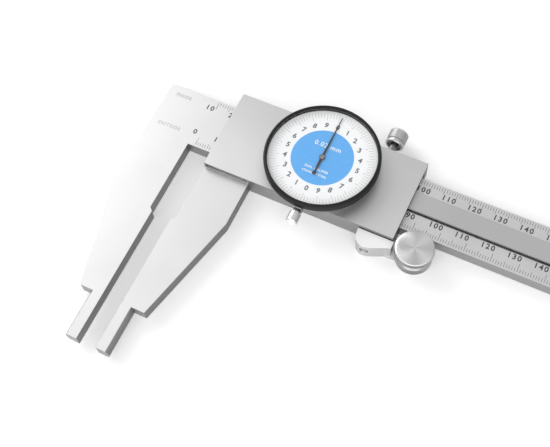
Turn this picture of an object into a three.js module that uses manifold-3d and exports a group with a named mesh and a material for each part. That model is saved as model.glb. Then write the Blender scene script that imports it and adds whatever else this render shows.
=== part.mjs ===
// A 300 mm dial caliper with 90 mm jaws: a flat steel beam with the fixed jaw, a slider with the moving
// jaw and a dial on it, and a thumb roller that drives the slider along the beam.
// X runs along the beam, Y across it away from the jaws, and Z out of the face with the scale.
// The group's origin is on the fixed jaw's measuring face, in the middle of its thickness.
import * as THREE from 'three';
import { mergeVertices } from 'three/addons/utils/BufferGeometryUtils.js';
import Module from 'manifold-3d';

const wasm = await Module();
wasm.setup();

// ---- driving dimensions, in millimetres ----
// Inside this file the beam's lower edge is y = 0, its face is z = 0 and the fixed measuring face is x = 0.
const GAP = 0.3; // left between pieces that touch on the real tool
const READING = 8; // jaw opening of the stored pose

const BEAM_WIDTH = 22.4;
const BEAM_THICK = 5.5;
const BEAM_END = 402;
const JAW_WIDTH = 20;
const JAW_LENGTH = 87;
const TAPER_START = 25; // below the beam's edge the jaw narrows from here
const TAPER_END = 68.5; // to here, where the nib starts
const TAPER_WIDTH = 9.35;
const RELIEF = 1.35; // the measuring face stands proud of the jaw above it
const RELIEF_END = 31.5;
const NIB_WIDTH = 5;
const NIB_ROUND = 4; // radius of the nib's outer face, for inside measurements
const DATUM_DEPTH = 60; // the origin lies this far below the beam's edge

const RACK_LOW = 8;
const RACK_WIDTH = 8;
const RACK_DEPTH = 0.7; // how far the rack sits in its groove
const RACK_PROUD = 0.9;
const RACK_START = 14;
const RACK_END = 398;
const TOOTH_ROOM = 0.9; // free width of the groove beside the teeth

const SLIDER_LENGTH = 77.5;
const SLIDER_TOP = 5.2; // slider beyond the beam's upper edge
const SLIDER_BOTTOM = 6.35; // and beyond its lower edge
const FACE = 3; // height of the slider's face above the beam's face
const CHANNEL_TOP = 1.4; // roof of the channel over the rack
const CHANNEL_SIDE = 0.6; // between the rack and the channel's side

const DIAL = { x: 50.8, y: 11.2 };
const BEZEL_RADIUS = 22;
const BEZEL_BOTTOM = 6.7;
const BEZEL_TOP = 10.4;
const CASE_RADIUS = 20.6;
const CASE_WALL = 1;
const CASE_FLOOR = 0.8;
const CASE_TOP = 6.9;
const WHEEL_RADIUS = 7.35; // turned 5 times slower than the needle
const PINION_RADIUS = 1.4;
const GEAR_DISTANCE = 9;

const LOCK = { x: 71.3, z: -1.25 };
const CLAMP_HEIGHT = 4.8;
const ROLLER = { x: 95.5, y: -7.1, radius: 6.85, cap: 7.2, top: 4.4, bottom: -4.9 };

// Sides of the round parts: screw shanks and bores, screw heads, and the dial's large rings.
const SHANK_SIDES = 10;
const HEAD_SIDES = 16;
const RING_SIDES = 56;
const ROLLER_SIDES = 40;
const KNOB_SIDES = 28;
const OVERLAP = 0.3; // how far a screw's shank runs into its head, which it is one piece with
const BEYOND = 1; // how far a cutting tool runs past the face it opens

// ---- materials ----
function metal(colour, roughness, metalness = 1) {
  return new THREE.MeshStandardMaterial({ color: colour, roughness, metalness });
}
const groundSteel = () => metal(0xc9cacb, 0.32);
const satinSteel = () => metal(0xbfc0c2, 0.42);
const polishedSteel = () => metal(0xe4e4e2, 0.15);
const darkSteel = () => metal(0x77797c, 0.4);
const brass = () => metal(0xc8a55a, 0.35);
const blackPlastic = () => metal(0x17171a, 0.35, 0);
const dialWhite = () => metal(0xf2f3f2, 0.5, 0);
const clearPlastic = () => new THREE.MeshStandardMaterial({
  color: 0xffffff, roughness: 0.05, metalness: 0, transparent: true, opacity: 0.2,
});

// ---- solids ----
function solidOf(geometry) {
  const bare = geometry.index ? geometry.toNonIndexed() : geometry.clone();
  bare.deleteAttribute('normal');
  bare.deleteAttribute('uv');
  const merged = mergeVertices(bare, 1e-4);
  return new wasm.Manifold(new wasm.Mesh({
    numProp: 3,
    vertProperties: new Float32Array(merged.attributes.position.array),
    triVerts: new Uint32Array(merged.index.array),
  }));
}

function geometryOf(solid) {
  const mesh = solid.getMesh();
  const geometry = new THREE.BufferGeometry();
  geometry.setAttribute('position', new THREE.BufferAttribute(new Float32Array(mesh.vertProperties), 3));
  geometry.setIndex(new THREE.BufferAttribute(new Uint32Array(mesh.triVerts), 1));
  return geometry;
}

function cut(base, ...tools) {
  return geometryOf(tools.reduce((solid, tool) => solid.subtract(solidOf(tool)), solidOf(base)));
}

function join(base, ...others) {
  return geometryOf(others.reduce((solid, other) => solid.add(solidOf(other)), solidOf(base)));
}

// A block between two opposite corners.
function block(low, high) {
  const size = high.map((value, i) => value - low[i]);
  const middle = high.map((value, i) => (value + low[i]) / 2);
  return new THREE.BoxGeometry(...size).translate(...middle);
}

// An outline in X and Y, given as a Shape, raised from one height to another.
function prism(shape, low, high, curveSegments = 12) {
  const raised = new THREE.ExtrudeGeometry(shape, { depth: high - low, bevelEnabled: false, curveSegments });
  return raised.translate(0, 0, low);
}

function polygon(points) {
  return new THREE.Shape(points.map(([x, y]) => new THREE.Vector2(x, y)));
}

// Round bars along each axis, by radius and end places.
function barZ(radius, low, high, sides = 32) {
  const bar = new THREE.CylinderGeometry(radius, radius, high - low, sides);
  return bar.rotateX(Math.PI / 2).translate(0, 0, (low + high) / 2);
}

function barY(radius, low, high, sides = 32) {
  return new THREE.CylinderGeometry(radius, radius, high - low, sides).translate(0, (low + high) / 2, 0);
}

function barX(radius, low, high, sides = 32) {
  const bar = new THREE.CylinderGeometry(radius, radius, high - low, sides);
  return bar.rotateZ(Math.PI / 2).translate((low + high) / 2, 0, 0);
}

// A profile of [radius, height] points turned about Z.
function turned(profile, sides = 48) {
  const lathe = new THREE.LatheGeometry(profile.map(([r, z]) => new THREE.Vector2(r, z)), sides);
  return lathe.rotateX(Math.PI / 2);
}

function add(group, name, geometry, material, x = 0, y = 0, z = 0) {
  const mesh = new THREE.Mesh(geometry, material);
  mesh.name = name;
  mesh.position.set(x, y, z);
  group.add(mesh);
  return mesh;
}

const numbered = (name, i) => `${name}_${i + 1}`;

// ---- jaws ----
// One jaw seen from the front, its measuring face on x = face and its body on the side that `side` gives.
// It starts at height `root` and ends where the nib starts.
function jawOutline(face, side, root) {
  const out = (distance) => face + side * distance;
  return [
    [out(RELIEF), root],
    [out(RELIEF), -RELIEF_END + RELIEF],
    [out(0), -RELIEF_END],
    [out(0), -TAPER_END],
    [out(TAPER_WIDTH), -TAPER_END],
    [out(JAW_WIDTH), -TAPER_START],
    [out(JAW_WIDTH), root],
  ];
}

// The nib's section is flat on the measuring side and round on the outside.
function nib(face, side) {
  const half = BEAM_THICK / 2;
  const flank = Math.sqrt(NIB_ROUND ** 2 - half ** 2); // from the round's centre to the nib's faces
  const centre = NIB_WIDTH - NIB_ROUND;
  const sweep = Math.asin(half / NIB_ROUND);
  const section = [[0, -half], [centre + flank, -half]];
  const steps = 8;
  for (let i = 1; i < steps; i += 1) {
    const angle = -sweep + (2 * sweep * i) / steps;
    section.push([centre + NIB_ROUND * Math.cos(angle), NIB_ROUND * Math.sin(angle)]);
  }
  section.push([centre + flank, half], [0, half]);
  const length = JAW_LENGTH - TAPER_END + BEYOND; // it runs into the jaw, which it is one piece with
  const bar = new THREE.ExtrudeGeometry(polygon(section), { depth: length, bevelEnabled: false });
  bar.rotateX(Math.PI / 2); // section's second axis becomes Z, and the bar runs towards -Y
  if (side < 0) bar.rotateY(Math.PI);
  return bar.translate(face, -TAPER_END + BEYOND, -half);
}

// ---- beam ----
const caliper = new THREE.Group();
caliper.position.set(0, DATUM_DEPTH, BEAM_THICK / 2);

const RACK_SCREWS = [20, 205, 392];
const RACK_MIDDLE = RACK_LOW + RACK_WIDTH / 2;
const RACK_SCREW = { radius: 1, low: -3, sunk: 0.1 };

function beam() {
  const head = jawOutline(0, -1, BEAM_WIDTH);
  const outline = [
    [BEAM_END, 0],
    [BEAM_END, BEAM_WIDTH],
    [-JAW_WIDTH, BEAM_WIDTH],
    ...head.slice(1, -1).reverse(),
    [-RELIEF, 0],
  ];
  const body = join(prism(polygon(outline), -BEAM_THICK, 0), nib(0, -1));
  const groove = block(
    [RACK_START - GAP, RACK_LOW - TOOTH_ROOM, -RACK_DEPTH - GAP],
    [RACK_END + GAP, RACK_LOW + RACK_WIDTH + GAP, BEYOND],
  );
  const holes = RACK_SCREWS.map((x) => (
    barZ(RACK_SCREW.radius + GAP, RACK_SCREW.low - GAP, BEYOND, SHANK_SIDES)
      .translate(x, RACK_MIDDLE, 0)));
  const ends = STOP_SCREWS.map(
    (y) => barX(STOP_SCREW.radius + GAP, BEAM_END - STOP_SCREW.depth - GAP, BEAM_END + BEYOND, SHANK_SIDES)
      .translate(0, y, -BEAM_THICK / 2),
  );
  return cut(body, groove, ...holes, ...ends);
}

function rack() {
  const strip = block([RACK_START, RACK_LOW, -RACK_DEPTH], [RACK_END, RACK_LOW + RACK_WIDTH, RACK_PROUD]);
  const holes = RACK_SCREWS.map((x) => (
    barZ(RACK_SCREW.radius + GAP, -RACK_DEPTH - BEYOND, RACK_PROUD + BEYOND, SHANK_SIDES)
      .translate(x, RACK_MIDDLE, 0)));
  return cut(strip, ...holes);
}

// ---- end stop ----
const STOP_SCREWS = [5, 17.4];
const STOP_SCREW = { radius: 0.9, depth: 6, head: 1.7, headHeight: 1 };
const STOP = { thick: 2, below: 1, above: 1, low: -6, high: 2 };

function endStop() {
  const low = BEAM_END + GAP;
  const plate = block([low, -STOP.below, STOP.low], [low + STOP.thick, BEAM_WIDTH + STOP.above, STOP.high]);
  const holes = STOP_SCREWS.map((y) => (
    barX(STOP_SCREW.radius + GAP, low - BEYOND, low + STOP.thick + BEYOND, SHANK_SIDES)
      .translate(0, y, -BEAM_THICK / 2)));
  return cut(plate, ...holes);
}

function endStopScrew() {
  const headStart = BEAM_END + GAP + STOP.thick + GAP;
  return join(
    barX(STOP_SCREW.radius, BEAM_END - STOP_SCREW.depth, headStart + OVERLAP, SHANK_SIDES),
    barX(STOP_SCREW.head, headStart, headStart + STOP_SCREW.headHeight, HEAD_SIDES),
  );
}

add(caliper, 'beam', beam(), groundSteel());
add(caliper, 'rack', rack(), satinSteel());
RACK_SCREWS.forEach((x, i) => {
  const screw = barZ(RACK_SCREW.radius, RACK_SCREW.low, RACK_PROUD - RACK_SCREW.sunk, SHANK_SIDES);
  add(caliper, numbered('rack_screw', i), screw, darkSteel(), x, RACK_MIDDLE);
});
add(caliper, 'end_stop', endStop(), satinSteel());
STOP_SCREWS.forEach((y, i) => {
  add(caliper, numbered('end_stop_screw', i), endStopScrew(), darkSteel(), 0, y, -BEAM_THICK / 2);
});

// ---- slider ----
const LEFT = READING + RELIEF;
const RIGHT = LEFT + SLIDER_LENGTH;
const UPPER = BEAM_WIDTH + SLIDER_TOP;
const LOWER = -SLIDER_BOTTOM;
const GIB = { thick: 1.2, low: -5.2, high: 0, inset: 3 };
const GIB_FAR = BEAM_WIDTH + GAP + GIB.thick; // the gib's face away from the beam
const GIB_BACK = GIB_FAR + GAP; // where the screws behind the gib start
const GIB_SCREWS = [30, 58];
const GIB_SCREW = { radius: 1.1, z: -2.75, length: 2.6 };
const LOCK_BORE = 1.5;
const LOCK_PAD = { radius: 1.4, thick: 0.9 };
const LOCK_SCREW = { // heights from the beam's lower edge
  tip: GIB_FAR + 1.6, collar: 31.9, neck: 33.3, head: 33.8, end: 38.4,
  collarRadius: 3.6, neckRadius: 3, headRadius: 3.7, edge: 0.3, dome: 0.6,
};
const BACK_PLATES = [18, 66];
const BACK_PLATE = { width: 12, thick: 1, reach: 4.6 };
const BACK_SCREW = { radius: 0.8, head: 1.5, headHeight: 0.7, top: -3, sunk: 0.1 };
const BACK_SCREW_ROWS = [-3.4, BEAM_WIDTH + 3.5];
const ARBOR_HOLE = 1.5;
const CASE_SCREW_ANGLES = [30, 150, 270];
const CASE_SCREW = { circle: 15, radius: 0.9, head: 1.7, headHeight: 0.8, low: 1.7 };
const PINION = {
  y: RACK_LOW - PINION_RADIUS - GAP,
  get x() { return DIAL.x - Math.sqrt(GEAR_DISTANCE ** 2 - (DIAL.y - this.y) ** 2); },
};
const REST_SCREW = { x: 78.2, radius: 0.8, z: -2.4, head: 1.4, headHeight: 0.9, depth: 4 };
const REST_DOWEL = { x: 84, radius: 0.8, z: -2.4, inRest: 1.8, inSlider: 3 };

const around = (degrees, radius) => [
  radius * Math.cos(THREE.MathUtils.degToRad(degrees)),
  radius * Math.sin(THREE.MathUtils.degToRad(degrees)),
];
const backScrewPlaces = BACK_PLATES.flatMap((x) => BACK_SCREW_ROWS.map((y) => [x, y]));
const caseScrewPlaces = CASE_SCREW_ANGLES.map((angle) => around(angle, CASE_SCREW.circle));

function sliderFrame() {
  const plate = block([LEFT, LOWER, -BEAM_THICK], [RIGHT, UPPER, FACE]);
  const jaw = prism(polygon(jawOutline(READING, 1, LOWER + 2 * BEYOND)), -BEAM_THICK, 0);
  const body = join(plate, jaw, nib(READING, 1));
  const ends = [LEFT - BEYOND, RIGHT + BEYOND];
  const beamWay = block([ends[0], -GAP, -BEAM_THICK - BEYOND], [ends[1], GIB_FAR + GAP, GAP]);
  const rackWay = block(
    [ends[0], PINION.y - PINION_RADIUS - GAP, 0],
    [ends[1], RACK_LOW + RACK_WIDTH + CHANNEL_SIDE, CHANNEL_TOP],
  );
  const gibWay = block([ends[0], BEAM_WIDTH + GAP, -BEYOND], [ends[1], GIB_FAR + GAP, CHANNEL_TOP]);
  const bores = [
    barY(LOCK_BORE + GAP, BEAM_WIDTH + BEYOND, UPPER + BEYOND, HEAD_SIDES).translate(LOCK.x, 0, LOCK.z),
    barZ(ARBOR_HOLE, 0, FACE + BEYOND, HEAD_SIDES).translate(PINION.x, PINION.y, 0),
    ...GIB_SCREWS.map((x) => (
      barY(GIB_SCREW.radius + GAP, BEAM_WIDTH + BEYOND, UPPER + BEYOND, SHANK_SIDES)
        .translate(x, 0, GIB_SCREW.z))),
    ...backScrewPlaces.map(([x, y]) => (
      barZ(BACK_SCREW.radius + GAP, -BEAM_THICK - BEYOND, BACK_SCREW.top + GAP, SHANK_SIDES)
        .translate(x, y, 0))),
    ...caseScrewPlaces.map(([x, y]) => (
      barZ(CASE_SCREW.radius + GAP, CHANNEL_TOP, FACE + BEYOND, SHANK_SIDES)
        .translate(DIAL.x + x, DIAL.y + y, 0))),
    barY(REST_SCREW.radius + GAP, LOWER - BEYOND, LOWER + REST_SCREW.depth + GAP, SHANK_SIDES)
      .translate(REST_SCREW.x, 0, REST_SCREW.z),
    barY(REST_DOWEL.radius + GAP, LOWER - BEYOND, LOWER + REST_DOWEL.inSlider + GAP, SHANK_SIDES)
      .translate(REST_DOWEL.x, 0, REST_DOWEL.z),
  ];
  return cut(body, beamWay, rackWay, gibWay, ...bores);
}

function backPlate() {
  const { width, thick, reach } = BACK_PLATE;
  const top = -BEAM_THICK - GAP;
  const plate = block([-width / 2, -reach, top - thick], [width / 2, BEAM_WIDTH + reach, top]);
  const holes = BACK_SCREW_ROWS.map((y) => (
    barZ(BACK_SCREW.head + GAP, top - thick - BEYOND, top + BEYOND, HEAD_SIDES).translate(0, y, 0)));
  return cut(plate, ...holes);
}

function backScrew() {
  const low = -BEAM_THICK - GAP - BACK_PLATE.thick + BACK_SCREW.sunk;
  return join(
    barZ(BACK_SCREW.head, low, low + BACK_SCREW.headHeight, HEAD_SIDES),
    barZ(BACK_SCREW.radius, low + OVERLAP, BACK_SCREW.top, SHANK_SIDES),
  );
}

// The lock screw's knurled head stands clear of the slider on a neck.
function lockScrew() {
  const { tip, collar, neck, head, end, collarRadius, neckRadius, headRadius, edge, dome } = LOCK_SCREW;
  const profile = [
    [0, tip], [LOCK_BORE, tip], [LOCK_BORE, collar], [collarRadius - edge, collar],
    [collarRadius, collar + edge], [collarRadius, neck - edge], [neckRadius, neck], [neckRadius, head],
    [headRadius, head + edge], [headRadius, end - dome], [headRadius - dome, end], [0, end],
  ];
  return turned(profile, KNOB_SIDES).rotateX(-Math.PI / 2);
}

const slider = new THREE.Group();
caliper.add(slider);
add(slider, 'slider_frame', sliderFrame(), satinSteel());
add(slider, 'gib', block(
  [LEFT + GIB.inset, BEAM_WIDTH + GAP, GIB.low],
  [RIGHT - GIB.inset, GIB_FAR, GIB.high],
), brass());
GIB_SCREWS.forEach((x, i) => {
  const screw = barY(GIB_SCREW.radius, GIB_BACK, GIB_BACK + GIB_SCREW.length, SHANK_SIDES);
  add(slider, numbered('gib_screw', i), screw, darkSteel(), x, 0, GIB_SCREW.z);
});
const lockPad = barY(LOCK_PAD.radius, GIB_BACK, GIB_BACK + LOCK_PAD.thick, HEAD_SIDES);
add(slider, 'lock_pad', lockPad, brass(), LOCK.x, 0, LOCK.z);
add(slider, 'lock_screw', lockScrew(), polishedSteel(), LOCK.x, 0, LOCK.z);
BACK_PLATES.forEach((x, i) => {
  add(slider, numbered('back_plate', i), backPlate(), satinSteel(), x);
});
backScrewPlaces.forEach(([x, y], i) => {
  add(slider, numbered('back_plate_screw', i), backScrew(), darkSteel(), x, y);
});

// ---- dial ----
const dial = new THREE.Group();
dial.position.set(DIAL.x, DIAL.y, 0);
slider.add(dial);
const FLOOR_LOW = FACE + GAP;
const FLOOR_TOP = FLOOR_LOW + CASE_FLOOR;
const CASE_INSIDE = CASE_RADIUS - CASE_WALL;
const arborPlace = [PINION.x - DIAL.x, PINION.y - DIAL.y];
const CENTRE_BORE = 0.7;
const CLAMP_BORE = 1;

function dialCase() {
  const dish = turned([
    [0, FLOOR_LOW], [CASE_RADIUS, FLOOR_LOW], [CASE_RADIUS, CASE_TOP],
    [CASE_INSIDE, CASE_TOP], [CASE_INSIDE, FLOOR_TOP], [0, FLOOR_TOP],
  ], RING_SIDES);
  const throughFloor = [FLOOR_LOW - BEYOND, FLOOR_TOP + BEYOND];
  const holes = [
    barZ(ARBOR_HOLE, ...throughFloor, HEAD_SIDES).translate(...arborPlace, 0),
    barZ(CENTRE_BORE + GAP, ...throughFloor, HEAD_SIDES),
    barY(CLAMP_BORE + GAP, -CASE_RADIUS - BEYOND, -CASE_INSIDE + BEYOND, HEAD_SIDES)
      .translate(0, 0, CLAMP_HEIGHT),
    ...caseScrewPlaces.map(([x, y]) => (
      barZ(CASE_SCREW.radius + GAP, ...throughFloor, SHANK_SIDES).translate(x, y, 0))),
  ];
  return cut(dish, ...holes);
}

function caseScrew() {
  const low = FLOOR_TOP + GAP;
  return join(
    barZ(CASE_SCREW.radius, CASE_SCREW.low, low + OVERLAP, SHANK_SIDES),
    barZ(CASE_SCREW.head, low, low + CASE_SCREW.headHeight, HEAD_SIDES),
  );
}

add(dial, 'dial_case', dialCase(), darkSteel());
caseScrewPlaces.forEach(([x, y], i) => {
  add(dial, numbered('case_screw', i), caseScrew(), darkSteel(), x, y);
});

// ---- gear train ----
// The rack turns the arbor's pinion once in 10 mm, and the wheel on it turns the centre arbor 5 times as fast.
const BRIDGE = { low: 6.5, high: 7, radius: 16 };
const PILLAR_ANGLES = [50, 130, 300];
const PILLAR = { circle: 13.5, radius: 1.4, thread: 1.2 };
const BRIDGE_SCREW = { radius: 0.6, head: 1.1, headHeight: 0.35, clear: 0.1 };
const WHEEL_TEETH = 40;
const WHEEL_TOOTH = 0.3;
const PINION_TEETH = 10;
const PINION_TOOTH = 0.35;
const RACK_ARBOR = { low: 0.5, radius: 0.9, collar: 1.8, pivot: 0.6 };
const RACK_PINION = { low: 0.35, high: 1.25 };
const CENTRE_TOP = 8.3;
const SPRING = { inner: 2.4, outer: 2.9, from: 0.3, to: 5.9, clear: 0.05 };
const WHEEL = { low: 5.15, high: 5.55 };
const TWIN = { low: 5.75, high: 6.1 }; // the sprung half of the wheel, which takes up the backlash
const pillarPlaces = PILLAR_ANGLES.map((angle) => around(angle, PILLAR.circle));

function bridge() {
  const plate = barZ(BRIDGE.radius, BRIDGE.low, BRIDGE.high, RING_SIDES);
  const through = [BRIDGE.low - BEYOND, BRIDGE.high + BEYOND];
  const holes = [
    barZ(CENTRE_BORE + GAP, ...through, HEAD_SIDES),
    barZ(RACK_ARBOR.pivot + GAP, ...through, HEAD_SIDES).translate(...arborPlace, 0),
    ...pillarPlaces.map(([x, y]) => (
      barZ(BRIDGE_SCREW.radius + GAP, ...through, SHANK_SIDES).translate(x, y, 0))),
  ];
  return cut(plate, ...holes);
}

function pillar() {
  const top = BRIDGE.low - GAP;
  const post = barZ(PILLAR.radius, FLOOR_TOP + GAP, top, HEAD_SIDES);
  const thread = barZ(BRIDGE_SCREW.radius + GAP, top - PILLAR.thread, top + BEYOND, SHANK_SIDES);
  return cut(post, thread);
}

function bridgeScrew() {
  const low = BRIDGE.high + BRIDGE_SCREW.clear;
  return join(
    barZ(BRIDGE_SCREW.radius, BRIDGE.low - PILLAR.thread, low + BRIDGE_SCREW.clear, SHANK_SIDES),
    barZ(BRIDGE_SCREW.head, low, low + BRIDGE_SCREW.headHeight, HEAD_SIDES),
  );
}

// A toothed outline: each tooth is four corners, given as parts of the pitch and as depths below the tip.
const TOOTH = [[0, 1], [0.35, 1], [0.5, 0], [0.85, 0]];
function gearShape(tip, teeth, depth) {
  const points = [];
  for (let i = 0; i < teeth; i += 1) {
    for (const [step, drop] of TOOTH) {
      const radius = tip - drop * depth;
      points.push(around((360 * (i + step)) / teeth, radius));
    }
  }
  return polygon(points);
}

function gear(tip, teeth, depth, bore, low, high) {
  const disc = prism(gearShape(tip, teeth, depth), low, high);
  return cut(disc, barZ(bore, low - BEYOND, high + BEYOND, SHANK_SIDES));
}

function rackArbor() {
  const top = WHEEL.low - GAP;
  const shaft = barZ(RACK_ARBOR.radius, RACK_ARBOR.low, top, SHANK_SIDES);
  const teeth = gearShape(PINION_RADIUS, PINION_TEETH, PINION_TOOTH);
  const pinion = prism(teeth, RACK_PINION.low, RACK_PINION.high);
  const collar = barZ(RACK_ARBOR.collar, FLOOR_TOP + GAP, top, HEAD_SIDES);
  const pivot = barZ(RACK_ARBOR.pivot, top - OVERLAP, BRIDGE.high, SHANK_SIDES);
  return join(shaft, pinion, collar, pivot);
}

function centreArbor() {
  const shaft = barZ(CENTRE_BORE, FLOOR_LOW, CENTRE_TOP, SHANK_SIDES);
  const pinion = prism(gearShape(PINION_RADIUS, PINION_TEETH, PINION_TOOTH), WHEEL.low, TWIN.high);
  return join(shaft, pinion);
}

// A light open ring between the two halves of the wheel.
function backlashSpring() {
  const { inner, outer, from, to, clear } = SPRING;
  const ring = new THREE.Shape();
  ring.absarc(0, 0, outer, from, to, false);
  ring.absarc(0, 0, inner, to, from, true);
  return prism(ring, WHEEL.high + clear, TWIN.low - clear, 14);
}

add(dial, 'bridge', bridge(), brass());
pillarPlaces.forEach(([x, y], i) => {
  add(dial, numbered('bridge_pillar', i), pillar(), brass(), x, y);
  add(dial, numbered('bridge_screw', i), bridgeScrew(), darkSteel(), x, y);
});
add(dial, 'rack_arbor', rackArbor(), darkSteel(), ...arborPlace);
for (const [name, { low, high }] of [['drive_wheel', WHEEL], ['backlash_wheel', TWIN]]) {
  const wheel = gear(WHEEL_RADIUS, WHEEL_TEETH, WHEEL_TOOTH, RACK_ARBOR.pivot + GAP, low, high);
  add(dial, name, wheel, brass(), ...arborPlace);
}
add(dial, 'backlash_spring', backlashSpring(), darkSteel(), ...arborPlace);
add(dial, 'centre_arbor', centreArbor(), darkSteel());

// ---- face, needle, bezel and crystal ----
const FACE_PLATE = { low: 7.8, high: 8.1, radius: 20.65 };
const FACE_BORE = 1.1;
const NEEDLE = {
  low: 8.4, high: 8.65, tip: 18.7, tipHalf: 0.2, waist: 5, waistHalf: 0.75, tail: 8, tailHalf: 0.5, blob: 1.1,
  hub: 1.5, bore: 1,
};
const CRYSTAL = { low: 9, high: 9.6 };
const LEDGE = { radius: 19.9, low: 7.1, high: 7.5 };
const SEAT = 21; // bore of the bezel that holds the face and the crystal
const LIP = { radius: 20.6, low: 9.9 };

function needle() {
  const { low, high, tip, tipHalf, waist, waistHalf, tail, tailHalf, blob } = NEEDLE;
  const end = blob - tail; // the middle of the round tail
  const hand = polygon([
    [-waistHalf, -waist], [-tipHalf, tip], [tipHalf, tip], [waistHalf, -waist],
    [tailHalf, end], [-tailHalf, end],
  ]);
  const blade = join(
    prism(hand, low, high),
    barZ(NEEDLE.hub, low, high, HEAD_SIDES),
    barZ(blob, low, high, HEAD_SIDES).translate(0, end, 0),
  );
  return cut(blade, barZ(NEEDLE.bore, low - BEYOND, high + BEYOND, SHANK_SIDES));
}

add(dial, 'dial_face', cut(
  barZ(FACE_PLATE.radius, FACE_PLATE.low, FACE_PLATE.high, RING_SIDES),
  barZ(FACE_BORE, FACE_PLATE.low - BEYOND, FACE_PLATE.high + BEYOND, HEAD_SIDES),
), dialWhite());
add(dial, 'needle', needle(), blackPlastic());
add(dial, 'bezel', turned([
  [SEAT, BEZEL_BOTTOM], [BEZEL_RADIUS, BEZEL_BOTTOM], [BEZEL_RADIUS, BEZEL_TOP], [LIP.radius, BEZEL_TOP],
  [LIP.radius, LIP.low], [SEAT, LIP.low], [SEAT, LEDGE.high], [LEDGE.radius, LEDGE.high],
  [LEDGE.radius, LEDGE.low], [SEAT, LEDGE.low], [SEAT, BEZEL_BOTTOM],
], RING_SIDES), blackPlastic());
add(dial, 'crystal', barZ(FACE_PLATE.radius, CRYSTAL.low, CRYSTAL.high, RING_SIDES), clearPlastic());

// ---- bezel clamp ----
const SHOE = { halfWidth: 1.7, near: -CASE_RADIUS - GAP, far: -BEZEL_RADIUS - 0.2, low: 2.9, high: 6.5 };
const CLAMP_SCREW = { // distances from the dial's centre
  tip: 19.2, neck: 22.5, head: 23.3, end: 27.9, neckRadius: 1.5, headRadius: 2.2, edge: 0.3,
};

function clampShoe() {
  const { halfWidth, near, far, low, high } = SHOE;
  return cut(
    block([-halfWidth, far, low], [halfWidth, near, high]),
    barY(CLAMP_BORE + GAP, far - BEYOND, near + BEYOND, HEAD_SIDES).translate(0, 0, CLAMP_HEIGHT),
  );
}

// The profile runs outwards from the end inside the case to the knurled head.
function clampScrew() {
  const { tip, neck, head, end, neckRadius, headRadius, edge } = CLAMP_SCREW;
  const profile = [
    [0, tip], [CLAMP_BORE, tip], [CLAMP_BORE, neck], [neckRadius, neck], [neckRadius, head],
    [headRadius - edge, head], [headRadius, head + edge], [headRadius, end - edge], [headRadius - edge, end],
    [0, end],
  ];
  return turned(profile, KNOB_SIDES).rotateX(Math.PI / 2);
}

add(dial, 'clamp_shoe', clampShoe(), darkSteel());
add(dial, 'clamp_screw', clampScrew(), polishedSteel(), 0, 0, CLAMP_HEIGHT);

// ---- thumb rest and roller ----
const REST = { left: 73.2, right: 87.4, top: 1, bottom: -6.4, near: LOWER - GAP, far: -12.5 };
const REST_EDGE = { start: [73.5, -9], bend: [74.2, -12.6], deepest: [77.4, REST.far] };
const REST_HOLLOW = { leave: [81, -12.3], arrive: [83.5, -10.6], end: [REST.right, -9.6] };
const REST_SEAT = LOWER - 2.2; // the screw's head lies below this
const ARM = { left: 80, high: -5.2, halfWidth: 3.2, endRadius: 6 };
const PIN = { radius: 1.2, top: 2.8, play: 0.05, sunk: 0.1 };
const ROLLER_PROFILE = { chamfer: 0.5, groove: 0.9, low: -0.1, high: 0.5, edge: 0.25 };

// The rest's outer side is a shallow hollow for the thumb.
function thumbRest() {
  const outline = new THREE.Shape();
  outline.moveTo(REST.left, REST.near);
  outline.lineTo(...REST_EDGE.start);
  outline.quadraticCurveTo(...REST_EDGE.bend, ...REST_EDGE.deepest);
  outline.bezierCurveTo(...REST_HOLLOW.leave, ...REST_HOLLOW.arrive, ...REST_HOLLOW.end);
  outline.lineTo(REST.right, REST.near);
  outline.closePath();
  const body = prism(outline, REST.bottom, REST.top, 8);
  const arm = block([ARM.left, ROLLER.y - ARM.halfWidth, REST.bottom], [ROLLER.x, REST.near, ARM.high]);
  const end = barZ(ARM.endRadius, REST.bottom, ARM.high, ROLLER_SIDES).translate(ROLLER.x, ROLLER.y, 0);
  const outside = REST.far - BEYOND;
  const holes = [
    barY(REST_SCREW.radius + GAP, outside, LOWER, SHANK_SIDES).translate(REST_SCREW.x, 0, REST_SCREW.z),
    barY(REST_SCREW.head + GAP, outside, REST_SEAT, HEAD_SIDES).translate(REST_SCREW.x, 0, REST_SCREW.z),
    barY(REST_DOWEL.radius + GAP, LOWER - REST_DOWEL.inRest - GAP, LOWER, SHANK_SIDES)
      .translate(REST_DOWEL.x, 0, REST_DOWEL.z),
    barZ(PIN.radius + GAP, REST.bottom - BEYOND, ARM.high + BEYOND, HEAD_SIDES)
      .translate(ROLLER.x, ROLLER.y, 0),
    barZ(ROLLER.radius + GAP, ARM.high, REST.top + BEYOND, ROLLER_SIDES).translate(ROLLER.x, ROLLER.y, 0),
  ];
  return cut(join(body, arm, end), ...holes);
}

function restScrew() {
  const head = REST_SEAT - GAP;
  return join(
    barY(REST_SCREW.radius, head - OVERLAP, LOWER + REST_SCREW.depth, SHANK_SIDES),
    barY(REST_SCREW.head, head - REST_SCREW.headHeight, head, HEAD_SIDES),
  );
}

function roller() {
  const { radius, cap, top, bottom } = ROLLER;
  const { chamfer, groove, low, high, edge } = ROLLER_PROFILE;
  const bore = PIN.radius + PIN.play;
  const profile = [
    [bore, bottom], [radius - chamfer, bottom], [radius, bottom + chamfer], [radius, low - groove],
    [radius - groove, low], [radius - groove, high], [cap, high + groove + cap - radius], [cap, top - 2 * edge],
    [cap - edge, top - edge], [0, top], [0, PIN.top + GAP], [bore, PIN.top + GAP],
  ];
  profile.push(profile[0]);
  return turned(profile, ROLLER_SIDES);
}

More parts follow.
